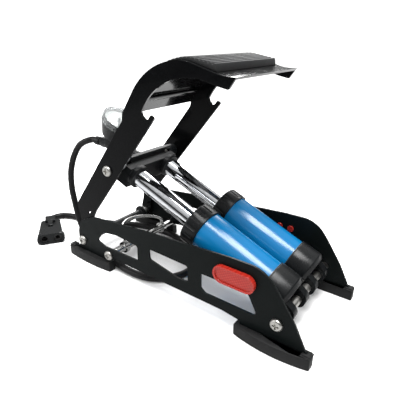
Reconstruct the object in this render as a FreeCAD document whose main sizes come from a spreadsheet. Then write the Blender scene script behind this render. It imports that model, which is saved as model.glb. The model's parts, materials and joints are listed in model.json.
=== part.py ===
import FreeCAD, Part
import math
import os
from FreeCAD import Placement, Rotation, Vector

# Twin-cylinder foot air pump.  Millimetres, +Z up, +X towards the front of the pump.
# The origin is the floor point under the treadle hinge, on the plane of symmetry.

doc = FreeCAD.newDocument("foot_air_pump")

SIZES = [
    # frame
    ("plate_outer_y", 58.0, "outer face of a side plate from the plane of symmetry"),
    ("plate_gauge", 2.0, "sheet thickness of the side plates"),
    ("hinge_z", 25.5, "height of the treadle hinge"),
    ("tie_x", 46.5, "rear tie rod, forward of the hinge"),
    ("tie_z", 20.0, "height of the rear tie rod"),
    ("front_x", 261.2, "front axle of the cylinders, forward of the hinge"),
    ("front_z", 29.5, "height of the front axle"),
    ("shoe_height", 14.0, "height of a rubber foot"),
    ("shoe_floor", 5.0, "rubber under the lower edge of a side plate"),
    ("axle_radius", 5.0, "hinge axle"),
    ("rod_end_radius", 4.5, "rear tie rod and front axle"),
    # treadle
    ("arm_outer_y", 54.5, "outer face of a treadle arm"),
    ("arm_gauge", 2.0, "sheet thickness of the treadle"),
    ("pivot_x", 54.7, "crosshead pivot, forward of the hinge"),
    ("pivot_z", 125.1, "height of the crosshead pivot with the treadle up"),
    ("pad_half_width", 50.0, "half width of the rubber tread"),
    ("pad_base", 4.2, "rubber under the ribs at the front of the tread"),
    ("pad_rib", 1.5, "height of a rib"),
    # cylinders
    ("cylinder_y", 25.0, "cylinder axis from the plane of symmetry"),
    ("cylinder_tilt", 22.93, "slope of the cylinders with the treadle up, degrees"),
    ("cylinder_offset", 3.5, "cylinder axis above the front axle"),
    ("barrel_radius", 21.0, "outside radius of a barrel"),
    ("barrel_wall", 1.5, "wall of a barrel"),
    ("cap_radius", 22.6, "outside radius of the barrel caps"),
    ("rod_radius", 10.0, "outside radius of a piston rod"),
    ("rod_wall", 1.5, "wall of a piston rod"),
    # fits
    ("running_gap", 0.05, "radial clearance of a running or assembly fit"),
    ("screw_radius", 2.95, "shank of a pan head screw"),
    ("screw_head_radius", 6.0, "pan head"),
    ("screw_head_height", 3.4, "pan head"),
    # gauge and hose
    ("gauge_radius", 20.0, "outside radius of the gauge case"),
    ("gauge_height", 27.0, "depth of the gauge case"),
    ("hose_radius", 4.1, "outside radius of the air hose"),
]

sheet = doc.addObject("Spreadsheet::Sheet", "sizes")
for row, (alias, value, meaning) in enumerate(SIZES, start=1):
    sheet.set("A%d" % row, meaning)
    sheet.set("B%d" % row, str(value))
    sheet.setAlias("B%d" % row, alias)
doc.recompute()


def size(alias):
    return float(getattr(sheet, alias))


PLATE_MID_Y = size("plate_outer_y") - size("plate_gauge") / 2
PLATE_INNER_Y = size("plate_outer_y") - size("plate_gauge")
ARM_INNER_Y = size("arm_outer_y") - size("arm_gauge")
HINGE = Vector(0, 0, size("hinge_z"))
TIE = Vector(size("tie_x"), 0, size("tie_z"))
FRONT = Vector(size("front_x"), 0, size("front_z"))
PIVOT = Vector(size("pivot_x"), 0, size("pivot_z"))
GAP = size("running_gap")
BARREL_R = size("barrel_radius")
BORE_R = BARREL_R - size("barrel_wall")
CAP_R = size("cap_radius")
ROD_R = size("rod_radius")
SCREW_R = size("screw_radius")
TAPPED_R = SCREW_R + GAP

nodes = []


# ---------------------------------------------------------------- sketching helpers

def rounded_loop(corners):
    """Edges of a closed outline; each corner is (a, b) or (a, b, radius)."""
    points = [Vector(c[0], c[1], 0) for c in corners]
    radii = [c[2] if len(c) > 2 else 0 for c in corners]
    count = len(points)
    starts, ends, mids = [], [], []
    for i in range(count):
        here = points[i]
        back = (points[i - 1] - here).normalize()
        ahead = (points[(i + 1) % count] - here).normalize()
        if radii[i] == 0:
            starts.append(here)
            ends.append(here)
            mids.append(None)
            continue
        half = back.getAngle(ahead) / 2
        reach = radii[i] / math.tan(half)
        starts.append(here + back * reach)
        ends.append(here + ahead * reach)
        inward = (back + ahead).normalize()
        mids.append(here + inward * (radii[i] / math.sin(half) - radii[i]))
    edges = []
    for i in range(count):
        if mids[i] is not None:
            edges.append(Part.Arc(starts[i], mids[i], ends[i]))
        following = starts[(i + 1) % count]
        if ends[i].distanceToPoint(following) > 1e-6:
            edges.append(Part.LineSegment(ends[i], following))
    return edges


def circle(a, b, radius):
    return [Part.Circle(Vector(a, b, 0), Vector(0, 0, 1), radius)]


def stadium(a, b, half_length, half_height):
    """Slot-shaped loop lying along the first axis."""
    left, right = a - half_length, a + half_length
    low, high = b - half_height, b + half_height
    corner = half_height * 0.97
    return rounded_loop([(left, low, corner), (right, low, corner),
                         (right, high, corner), (left, high, corner)])


def new_body(label):
    body = doc.addObject("PartDesign::Body", label)
    body.Label = label
    return body


def add_sketch(body, plane_role, loops, height=0):
    """Sketch on one of the body's own origin planes, raised by height along its normal."""
    sketch = body.newObject("Sketcher::SketchObject", body.Name + "_outline")
    plane = [f for f in body.Origin.OriginFeatures if f.Role == plane_role][0]
    sketch.AttachmentSupport = [(plane, "")]
    sketch.MapMode = "FlatFace"
    sketch.AttachmentOffset = Placement(Vector(0, 0, height), Rotation())
    for loop in loops:
        for edge in loop:
            sketch.addGeometry(edge, False)
    sketch.Visibility = False
    return sketch


def add_pad(body, plane_role, loops, length, height=0, both_ways=False):
    sketch = add_sketch(body, plane_role, loops, height)
    pad = body.newObject("PartDesign::Pad", body.Name + "_pad")
    pad.Profile = sketch
    pad.setExpression("Length", length)
    if both_ways:
        pad.Midplane = True
    doc.recompute()
    return pad


def add_pocket(body, plane_role, loops, length, height=0, both_ways=False, along_normal=False):
    sketch = add_sketch(body, plane_role, loops, height)
    before = body.Shape.Volume
    pocket = body.newObject("PartDesign::Pocket", body.Name + "_pocket")
    pocket.Profile = sketch
    pocket.setExpression("Length", length)
    pocket.Reversed = along_normal
    if both_ways:
        pocket.Midplane = True
    doc.recompute()
    if body.Shape.Volume > before - 1e-3:
        raise ValueError("pocket of %s removes nothing" % body.Label)
    return pocket


def turned(label, profile, placement):
    """Body of revolution about its local Z axis; profile corners are (radius, height)."""
    body = new_body(label)
    sketch = add_sketch(body, "XZ_Plane", [rounded_loop(profile)])
    spin = body.newObject("PartDesign::Revolution", label + "_turned")
    spin.Profile = sketch
    spin.ReferenceAxis = (sketch, ["V_Axis"])
    spin.Angle = 360
    body.Placement = placement
    doc.recompute()
    return body


def primitive(kind, name, placement, **expressions):
    item = doc.addObject("Part::" + kind, name)
    for prop, expression in expressions.items():
        item.setExpression(prop, expression)
    item.Placement = placement
    return item


def combine(kind, label, base, tool):
    """Part::Cut, Part::Fuse or Part::Common of two objects."""
    item = doc.addObject("Part::" + kind, label)
    item.Base = base
    item.Tool = tool
    item.Label = label
    doc.recompute()
    return item


def mirrored(label, source):
    """Left-hand twin of a right-hand piece, mirrored in the plane of symmetry."""
    twin = doc.addObject("Part::Mirroring", label)
    twin.Source = source
    twin.Normal = Vector(0, 1, 0)
    twin.Base = Vector(0, 0, 0)
    twin.Label = label
    doc.recompute()
    return twin


def group_of(label, source, placements):
    """One node of identical separate solids, made from one master shape."""
    master = source.Shape.copy()
    master.Placement = Placement()
    copies = []
    for placement in placements:
        copy = master.copy()
        copy.Placement = placement
        copies.append(copy)
    item = doc.addObject("Part::Feature", label)
    item.Shape = Part.makeCompound(copies)
    item.Label = label
    return item


def loose(label, shape):
    """Piece whose curved shape is swept in code from sheet values."""
    item = doc.addObject("Part::Feature", label)
    item.Shape = shape
    item.Label = label
    return item


def keep(*items):
    nodes.extend(items)


# ---------------------------------------------------------------- placements

def across(x, y, z, outward=1):
    """Local Z laid along +Y (outward 1) or -Y (outward -1)."""
    return Placement(Vector(x, y, z), Rotation(Vector(1, 0, 0), -90 * outward))


TILT = math.radians(size("cylinder_tilt"))
UP_THE_CYLINDER = Vector(-math.cos(TILT), 0, math.sin(TILT))
ABOVE_THE_CYLINDER = Vector(math.sin(TILT), 0, math.cos(TILT))
CYLINDER_FOOT = FRONT + ABOVE_THE_CYLINDER * size("cylinder_offset")


def along_cylinder(station=0, y=None):
    """Local Z up the cylinder axis, starting at a distance from the front axle."""
    if y is None:
        y = -size("cylinder_y")
    spot = CYLINDER_FOOT + UP_THE_CYLINDER * station + Vector(0, y, 0)
    return Placement(spot, Rotation(Vector(0, 1, 0), size("cylinder_tilt") - 90))


def beside_cylinder(y=0):
    """Local X down the cylinders, local Z square to them: sketch points are (-station, rise)."""
    return Placement(CYLINDER_FOOT + Vector(0, y, 0), Rotation(Vector(0, 1, 0), size("cylinder_tilt")))


def cylinder_point(station, rise, y=0):
    return CYLINDER_FOOT + UP_THE_CYLINDER * station + ABOVE_THE_CYLINDER * rise + Vector(0, y, 0)


def pipe(points, radius):
    """Round bar along straight runs joined by the widest arcs that fit at each point."""
    edges = []
    reached = points[0]
    for i in range(1, len(points) - 1):
        here = points[i]
        back, ahead = points[i - 1] - here, points[i + 1] - here
        reach = 0.499 * min(back.Length, ahead.Length)
        back, ahead = back.normalize(), ahead.normalize()
        half = back.getAngle(ahead) / 2
        if half > math.radians(89.8):
            continue
        bend = reach * math.tan(half)
        start, end = here + back * reach, here + ahead * reach
        middle = here + (back + ahead).normalize() * (bend / math.sin(half) - bend)
        edges += [Part.makeLine(reached, start), Part.Arc(start, middle, end).toShape()]
        reached = end
    edges.append(Part.makeLine(reached, points[-1]))
    ring = Part.Wire([Part.makeCircle(radius, points[0], points[1] - points[0])])
    return Part.Wire(edges).makePipeShell([ring], True, True)


# ---------------------------------------------------------------- frame

REFLECTOR_X, REFLECTOR_Z = 218.0, 59.5
STUD_X = (206.5, 219.5)
STUD_Z = 61.5
STUD_R = 2.0

REAR_SHOE = (-24.7, 49.5)
FRONT_SHOE = (220.5, 294.5)
SHOE_END_WALL = 4.5


def plate_outline():
    floor_z = size("shoe_floor")
    rear, rear_end = REAR_SHOE[0] + SHOE_END_WALL, REAR_SHOE[1] - SHOE_END_WALL
    front, front_end = FRONT_SHOE[0] + SHOE_END_WALL, FRONT_SHOE[1] - SHOE_END_WALL
    clear = size("shoe_height") + 1
    return rounded_loop([
        (rear, floor_z, 2), (rear_end, floor_z, 2), (rear_end, clear, 1), (60, 17.5, 12),
        (205, 17.5, 25), (front, clear, 1), (front, floor_z, 2), (front_end, floor_z, 2),
        (front_end, 12, 3), (277.5, 36, 60), (261, 60, 40), (246, 78.5, 30),
        (212, 78, 60), (110, 71.3, 300), (24, 63.5, 40), (-1, 51.5, 16), (-7, 38, 12),
        (-8, clear, 3), (rear + 1, clear - 2, 2),
    ])


def plate_windows():
    return [
        rounded_loop([(27.5, 34.5, 2), (40.5, 48.3, 3), (62, 51.4, 8), (95, 49, 3), (94.5, 30.5, 3),
                      (40, 29.5, 4)]),
        rounded_loop([(112.5, 51.5, 3), (164, 50.3, 3), (164, 32, 3), (150, 31.5, 6),
                      (112.5, 39, 3.5)]),
        rounded_loop([(180, 48.5, 3), (231.5, 48.5, 5), (242.5, 28, 3.5), (185, 28, 3),
                      (180, 32, 2)]),
    ]


def side_plate():
    body = new_body("side_plate_right")
    hole = SCREW_R + GAP
    holes = [circle(p.x, p.z, hole) for p in (HINGE, TIE, FRONT)]
    holes += [circle(x, STUD_Z, STUD_R + GAP) for x in STUD_X]
    add_pad(body, "XZ_Plane", [plate_outline()] + plate_windows() + holes, "sizes.plate_gauge",
            both_ways=True)
    body.Placement = Placement(Vector(0, -PLATE_MID_Y, 0), Rotation())
    keep(body, mirrored("side_plate_left", body))


def shoe_plan(x_range, bulge):
    """Plan of a foot: straight inside, bowed outside."""
    rear, front = x_range
    inside, outside = -(ARM_INNER_Y + 0.5), -(size("plate_outer_y") + 4)
    corners = [Vector(rear, inside, 0), Vector(rear, outside, 0),
               Vector((rear + front) / 2, outside - bulge, 0),
               Vector(front, outside, 0), Vector(front, inside, 0)]
    return [Part.LineSegment(corners[0], corners[1]), Part.Arc(*corners[1:4]),
            Part.LineSegment(corners[3], corners[4]), Part.LineSegment(corners[4], corners[0])]


def shoe(place, x_range, bulge, end_lip):
    """Bowed rubber foot with a groove for the side plate and a raised lip at its outer end."""
    rear, front = x_range
    body = new_body(place + "_foot_right")
    add_pad(body, "XY_Plane", [shoe_plan(x_range, bulge)], "sizes.shoe_height - 2")
    outer, inner = -(size("plate_outer_y") + 3), -(ARM_INNER_Y + 1)
    lip_rear, lip_front = end_lip
    add_pad(body, "XY_Plane", [rounded_loop([(lip_rear, outer), (lip_front, outer), (lip_front, inner),
                                             (lip_rear, inner)])], "3.0",
            height=size("shoe_height") - 3)
    slot = [(rear + SHOE_END_WALL - GAP, -(size("plate_outer_y") + GAP)),
            (front - SHOE_END_WALL + GAP, -(size("plate_outer_y") + GAP)),
            (front - SHOE_END_WALL + GAP, -(PLATE_INNER_Y - GAP)),
            (rear + SHOE_END_WALL - GAP, -(PLATE_INNER_Y - GAP))]
    add_pocket(body, "XY_Plane", [rounded_loop(slot)], "sizes.shoe_height - sizes.shoe_floor",
               height=size("shoe_height"))
    keep(body, mirrored(place + "_foot_left", body))


def screw_master():
    """Pan head screw with a cross recess; the head stands along +Z."""
    head_r, head_z, length = size("screw_head_radius"), size("screw_head_height"), 14.0
    body = turned("screw_master", [(0, -length), (SCREW_R, -length, 0.6), (SCREW_R, 0), (head_r, 0),
                                   (head_r, head_z, 2.4), (0, head_z)], Placement())
    arm, half = 3.2, 0.75
    cross = [(-arm, -half), (-half, -half), (-half, -arm), (half, -arm), (half, -half), (arm, -half),
             (arm, half), (half, half), (half, arm), (-half, arm), (-half, half), (-arm, half)]
    add_pocket(body, "XY_Plane", [rounded_loop(cross)], "sizes.screw_head_height / 2",
               height=head_z)
    return body


def frame_screws(master):
    spots = []
    for side in (-1, 1):
        for p in (HINGE, TIE, FRONT):
            spots.append(across(p.x, side * size("plate_outer_y"), p.z, side))
    keep(group_of("frame_screws", master, spots))


def cross_rod(label, centre, radius):
    """Steel rod between the side plates, tapped at both ends."""
    depth = 16.0
    end, tap = PLATE_INNER_Y, PLATE_INNER_Y - depth
    profile = [(0, -tap), (TAPPED_R, -tap), (TAPPED_R, -end), (radius, -end), (radius, end),
               (TAPPED_R, end), (TAPPED_R, tap), (0, tap)]
    keep(turned(label, profile, across(centre.x, 0, centre.z)))


def hinge_spacers():
    """Steel sleeves that keep the treadle arms apart, each with a plastic washer inboard."""
    bore = size("axle_radius") + GAP
    outer_end, inner_end = ARM_INNER_Y - 0.2, 43.0
    washer = 2.5
    sleeve = turned("spacer_master", [(bore, inner_end), (7.5, inner_end), (7.5, outer_end),
                                      (bore, outer_end)], Placement())
    ring = turned("washer_master", [(bore, inner_end - washer), (9.5, inner_end - washer),
                                    (9.5, inner_end), (bore, inner_end)], Placement())
    spots = [across(HINGE.x, 0, HINGE.z, side) for side in (-1, 1)]
    keep(group_of("hinge_spacers", sleeve, spots), group_of("hinge_washers", ring, spots))


def reflector():
    """Red reflector with a raised rim and two studs through the side plate."""
    body = new_body("reflector_right")
    plate_face, back = size("plate_outer_y"), PLATE_INNER_Y
    half_length, half_height, rim, thickness = 21.5, 9.0, 2.2, 4.5
    add_pad(body, "XZ_Plane", [stadium(REFLECTOR_X, REFLECTOR_Z, half_length, half_height)],
            str(thickness), height=plate_face)
    studs = [circle(x, STUD_Z, STUD_R) for x in STUD_X]
    add_pad(body, "XZ_Plane", studs, "sizes.plate_gauge + 0.8", height=back - 0.6)
    heads = [circle(x, STUD_Z, 3.6) for x in STUD_X]
    add_pad(body, "XZ_Plane", heads, "1.6", height=back - 1.6)
    add_pocket(body, "XZ_Plane", [stadium(REFLECTOR_X, REFLECTOR_Z, half_length - rim,
                                          half_height - rim)], "1.4", height=plate_face + thickness)
    keep(body, mirrored("reflector_left", body))


def wire_bail():
    """Round wire loop swinging on the rear tie rod."""
    half_width, wire = 33.0, 2.0
    rod = size("rod_end_radius")
    half = [(TIE.x + 0.5, half_width, TIE.z + rod + wire), (TIE.x + 1.5, half_width, TIE.z + 12.5),
            (TIE.x - 8, 28, TIE.z + 16), (TIE.x - 23, 15, TIE.z + 16.5)]
    points = [Vector(*p) for p in half] + [Vector(TIE.x - 28.5, 0, TIE.z + 16.5)]
    points += [Vector(x, -y, z) for x, y, z in reversed(half)]
    loop = pipe(points, wire)
    eye_width, eye_wall = 5.0, 2.4
    for y in (-half_width, half_width):
        start = Vector(TIE.x, y - eye_width / 2, TIE.z)
        eye = Part.makeCylinder(rod + GAP + eye_wall, eye_width, start, Vector(0, 1, 0))
        loop = loop.fuse(eye)
    bore = Part.makeCylinder(rod + GAP, 4 * half_width, TIE - Vector(0, 2 * half_width, 0),
                             Vector(0, 1, 0))
    keep(loose("wire_bail", loop.cut(bore).removeSplitter()))


# ---------------------------------------------------------------- treadle

# The pressed back of the treadle runs from its lower end over the arch to the front edge.
CREST = [(84.2, 189.5, 0), (117.9, 235.2, 70), (159.2, 239.8, 42), (197.4, 228.8, 50),
         (210.0, 228.9, 0)]


def offset_path(path, distance):
    """Open rounded path moved sideways; positive is to the right of its direction."""
    points = [Vector(p[0], p[1], 0) for p in path]
    headings = [(b - a).normalize() for a, b in zip(points, points[1:])]
    sides = [Vector(h.y, -h.x, 0) for h in headings]
    moved = [points[0] + sides[0] * distance]
    radii = [0]
    for i in range(1, len(points) - 1):
        bisector = (sides[i - 1] + sides[i]).normalize()
        moved.append(points[i] + bisector * (distance / bisector.dot(sides[i])))
        turns_right = headings[i - 1].cross(headings[i]).z < 0
        radii.append(path[i][2] - distance if turns_right else path[i][2] + distance)
    moved.append(points[-1] + sides[-1] * distance)
    radii.append(0)
    return [(p.x, p.y, r) for p, r in zip(moved, radii)]


def arm_outline():
    """Side view of the treadle: arch, hooked notch, leg and hinge eye."""
    eye = 8.0
    hinge_z = size("hinge_z")
    front_edge = [(203.2, 219.3, 1.5), (194, 221, 20), (172.5, 226.6, 30), (128.4, 222.7, 62),
                  (109.8, 193.0, 1.5), (111.0, 189.5, 3), (116.2, 185.2, 3), (121.4, 191.8, 1.4),
                  (125.6, 188.6, 1.8), (25.5, 69, 40), (eye + 2, 42, 15),
                  (eye, hinge_z - eye, eye - 0.1)]
    rear_edge = [(-eye, hinge_z - eye, eye - 0.1), (-eye, hinge_z + 6, 6), (-3, 48, 8), (-7.9, 71.5, 6),
                 (82.6, 181.5, 4)]
    return rounded_loop(CREST + front_edge + rear_edge)


def inner_region():
    """Everything between the arms, leaving only the back of the channel standing."""
    inside = offset_path(CREST, size("arm_gauge"))
    first, last = inside[0], inside[-1]
    return rounded_loop([(first[0] - 20, first[1] - 1)] + [(first[0], first[1] - 1, 0)] + inside[1:-1]
                        + [(last[0] + 5, last[1], 0), (last[0] + 5, 200), (140, 5), (-20, 5),
                           (-20, first[1] - 1)])


def treadle_channel():
    body = new_body("treadle_channel")
    width, clear = 2 * size("arm_outer_y"), 2 * ARM_INNER_Y
    holes = [circle(HINGE.x, HINGE.z, size("axle_radius") + GAP),
             circle(PIVOT.x, PIVOT.z, SCREW_R + GAP),
             rounded_loop([(10.4, 62.5, 0.9), (13.2, 62.5, 0.9), (17.2, 67.5, 0.9), (14.2, 67.5, 0.9)])]
    add_pad(body, "XZ_Plane", [arm_outline()] + holes, str(width), both_ways=True)
    add_pocket(body, "XZ_Plane", [inner_region()], str(clear), both_ways=True)
    bead = circle(97.3, 201.5, 3.0)
    add_pad(body, "XZ_Plane", [bead], str(clear - 12), both_ways=True)
    keep(body)


def crest_wire(lift):
    """Open wire along the outside of the treadle back, raised by lift."""
    path = offset_path(CREST, -lift)
    loop = rounded_loop(path + [(path[-1][0], 0, 0), (path[0][0], 0, 0)])
    drawn = [edge.toShape() for edge in loop[:2 * len(path) - 3]]
    return Part.Wire(Part.__sortEdges__(drawn))


def tread_pad():
    """Rubber tread that follows the arch and thickens forward, with straight ribs across it."""
    glue, thin_share = 0.15, 0.12
    base, rib = size("pad_base"), size("pad_rib")
    under, land, crown = (crest_wire(h) for h in (glue, glue + base, glue + base + rib))
    rear_x, front_x, pitch = 139.0, 189.5, 4.2
    count = int((front_x - rear_x) / pitch)

    def at(wire, x):
        blade = Part.makeLine(Vector(x, 0, 0), Vector(x, 400, 0))
        return wire.distToShape(blade)[1][0][0]

    def on_top(wire, x):
        share = thin_share + (1 - thin_share) * (x - rear_x) / (front_x - rear_x)
        foot = at(under, x)
        return foot + (at(wire, x) - foot) * share

    step = (front_x - rear_x) / count
    bottom = [at(under, rear_x + step * i) for i in range(count + 1)]
    top = []
    for i in range(count):
        x = rear_x + step * i
        top += [on_top(land, x + 0.05 * step), on_top(crown, x + 0.2 * step),
                on_top(crown, x + 0.7 * step), on_top(land, x + 0.85 * step)]
    outline = bottom + list(reversed(top))
    body = new_body("tread_pad")
    add_pad(body, "XZ_Plane", [rounded_loop([(p.x, p.y) for p in outline])],
            "2 * sizes.pad_half_width", both_ways=True)
    keep(body)


BUSH_END_Y = 38.8
BLOCK_HALF_Y = 37.0


def arm_pivots(master):
    """Screws through the arms with spacer bushes; the screw tips carry the crosshead."""
    past_bush = 6.0
    head_face = size("arm_outer_y")
    tip = BUSH_END_Y - past_bush - head_face
    neck = turned("pivot_shank", [(0, tip), (SCREW_R, tip, 0.6), (SCREW_R, -10), (0, -10)], Placement())
    long_screw = combine("Fuse", "long_screw_master", master, neck)
    spots = [across(PIVOT.x, side * head_face, PIVOT.z, side) for side in (-1, 1)]
    keep(group_of("arm_pivot_screws", long_screw, spots))
    bush = turned("bush_master", [(SCREW_R + GAP, BUSH_END_Y), (7, BUSH_END_Y, 0.8), (7, ARM_INNER_Y),
                                  (SCREW_R + GAP, ARM_INNER_Y)], Placement())
    keep(group_of("arm_pivot_bushes", bush, [across(PIVOT.x, 0, PIVOT.z, side) for side in (-1, 1)]))


# ---------------------------------------------------------------- cylinders

BARREL_FOOT, BARREL_HEAD = 20.0, 118.0
END_CAP_TOP = 29.0
TOP_CAP_LOW, TOP_CAP_HIGH = 108.0, 126.0


def barrel():
    body = turned("barrel_right", [(BORE_R, BARREL_FOOT), (BARREL_R, BARREL_FOOT), (BARREL_R, BARREL_HEAD),
                                   (BORE_R, BARREL_HEAD)], along_cylinder())
    keep(body, mirrored("barrel_left", body))


def end_cap():
    """Closed cap with two lugs on the front axle."""
    socket = BARREL_R + GAP
    floor = BARREL_FOOT - 1.5
    cap = turned("end_cap_turned", [(0, 5), (19, 5, 2), (CAP_R, 8.5, 2), (CAP_R, END_CAP_TOP, 0.6),
                                    (socket, END_CAP_TOP), (socket, floor), (0, floor)], along_cylinder())
    drop = size("cylinder_offset")
    lug_r, lug_width, lug_spread = 8.0, 8.0, 13.5
    lugs = new_body("end_cap_lugs")
    side_view = rounded_loop([(lug_r, -drop - lug_r, lug_r - 0.05), (lug_r, -drop + lug_r, lug_r - 0.05),
                              (-12, 10), (-12, -13)])
    for offset in (-lug_spread, lug_spread):
        add_pad(lugs, "XZ_Plane", [side_view], str(lug_width),
                height=offset + size("cylinder_y") - lug_width / 2)
        if offset < 0:
            first = lugs
            lugs = new_body("end_cap_second_lug")
            first.Placement = beside_cylinder()
    lugs.Placement = beside_cylinder()
    both = combine("Fuse", "end_cap_pair", first, lugs)
    solid = combine("Fuse", "end_cap_solid", cap, both)
    bore = primitive("Cylinder", "end_cap_bore", across(FRONT.x, -2 * size("cylinder_y"), FRONT.z),
                     Radius="sizes.rod_end_radius + sizes.running_gap", Height="2 * sizes.cylinder_y")
    cut = combine("Cut", "end_cap_right", solid, bore)
    keep(cut, mirrored("end_cap_left", cut))


def top_cap():
    """Screwed cap with finger grooves round its rim and a seat for the rod wiper."""
    socket, bore, seat = BARREL_R + GAP, ROD_R + 0.15, 12.6
    low, high = TOP_CAP_LOW, TOP_CAP_HIGH
    profile = [(socket, low), (CAP_R + 0.3, low, 0.5), (CAP_R + 0.3, high - 2, 2), (17, high, 2),
               (bore, high), (bore, high - 3.4), (seat, high - 3.4), (seat, high - 6.6), (bore, high - 6.6),
               (bore, BARREL_HEAD + 0.1), (socket, BARREL_HEAD + 0.1)]
    cap = turned("top_cap_turned", profile, along_cylinder())
    count, groove = 16, 1.7
    cutters = []
    for i in range(count):
        angle = math.radians(360 / count * i)
        reach = CAP_R + 1.3
        foot = Vector(reach * math.cos(angle), reach * math.sin(angle), low + 3)
        cutters.append(Part.makeCylinder(groove, high, foot))
    tool = loose("top_cap_grooves", Part.makeCompound(cutters))
    tool.Placement = along_cylinder()
    cut = combine("Cut", "top_cap_right", cap, tool)
    keep(cut, mirrored("top_cap_left", cut))


def cylinder_rings():
    """Gaskets under the barrels, bright rings at the end caps and wipers round the rods."""
    spots = [along_cylinder(0, side * size("cylinder_y")) for side in (-1, 1)]
    gasket = turned("gasket_master", [(BORE_R, BARREL_FOOT - 1.5), (BARREL_R - 0.05, BARREL_FOOT - 1.5),
                                      (BARREL_R - 0.05, BARREL_FOOT), (BORE_R, BARREL_FOOT)], Placement())
    band = turned("band_master", [(BARREL_R + GAP, END_CAP_TOP), (CAP_R - 0.5, END_CAP_TOP),
                                  (CAP_R - 0.5, END_CAP_TOP + 1.0), (BARREL_R + GAP, END_CAP_TOP + 1.0)],
                  Placement())
    wiper_low, wiper_high = TOP_CAP_HIGH - 6.5, TOP_CAP_HIGH - 3.5
    wiper = turned("wiper_master", [(ROD_R + 0.05, wiper_low), (12.5, wiper_low), (12.5, wiper_high),
                                    (ROD_R + 0.05, wiper_high)], Placement())
    keep(group_of("barrel_gaskets", gasket, spots), group_of("barrel_bands", band, spots),
         group_of("rod_wipers", wiper, spots))


PISTON_LOW, PISTON_HIGH = 103.0, 115.0


def return_springs():
    """Open coil springs between the end caps and the pistons."""
    wire, radius, turns = 1.2, 14.5, 8
    low, high = BARREL_FOOT + 0.2 + wire, PISTON_LOW - 0.2 - wire
    helix = Part.makeHelix((high - low) / turns, high - low, radius)
    ring = Part.Wire([Part.makeCircle(wire, Vector(radius, 0, 0), Vector(0, 1, 0))])
    coil = Part.Wire(helix.Edges).makePipeShell([ring], True, True)
    for name, side in (("right", -1), ("left", 1)):
        spring = loose("return_spring_" + name, coil.copy())
        spring.Placement = along_cylinder(low, side * size("cylinder_y"))
        keep(spring)


# ---------------------------------------------------------------- crosshead with the rods

ROD_LOW, ROD_TOP = 106.0, 222.0
BLOCK_FRONT, BLOCK_STEP, BLOCK_REAR = 211.0, 222.0, 240.0
BLOCK_LOW, LEDGE, BLOCK_HIGH = -14.0, 10.8, 18.5
CHANNEL_STATION = 231.0


def piston_rod():
    inner = ROD_R - size("rod_wall")
    profile = [(inner, ROD_LOW), (ROD_R, ROD_LOW), (ROD_R, ROD_TOP), (inner, ROD_TOP)]
    body = turned("piston_rod_right", profile, along_cylinder())
    keep(body, mirrored("piston_rod_left", body))


def piston():
    outer, groove_floor = BORE_R - 0.2, 16.8
    low, high = PISTON_LOW, PISTON_HIGH
    middle = (low + high) / 2
    profile = [(3, low), (outer, low), (outer, middle - 1.5), (groove_floor, middle - 1.5),
               (groove_floor, middle + 1.5), (outer, middle + 1.5), (outer, high), (ROD_R + GAP, high),
               (ROD_R + GAP, ROD_LOW), (3, ROD_LOW)]
    body = turned("piston_right", profile, along_cylinder())
    keep(body, mirrored("piston_left", body))
    section = 1.3
    ring = primitive("Torus", "piston_ring_master", Placement(Vector(0, 0, 0), Rotation()),
                     Radius1="sizes.barrel_radius - sizes.barrel_wall - 1.35", Radius2=str(section))
    doc.recompute()
    spots = [along_cylinder(middle, side * size("cylinder_y")) for side in (-1, 1)]
    keep(group_of("piston_rings", ring, spots))


GAUGE_LEAN = 34.0
DIAL_CENTRE = Vector(20.0, 0, 168.6)
GAUGE_AXIS = Vector(math.sin(math.radians(GAUGE_LEAN)), 0, math.cos(math.radians(GAUGE_LEAN)))
GAUGE_FOOT = DIAL_CENTRE - GAUGE_AXIS * size("gauge_height")
NECK_R = 7.5
RISER = 14.0
NECK_TURN = GAUGE_FOOT - GAUGE_AXIS * RISER
NECK_BORE = 3.4
OUTLET_HEADING = Vector(-1, 0, 0)


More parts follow.
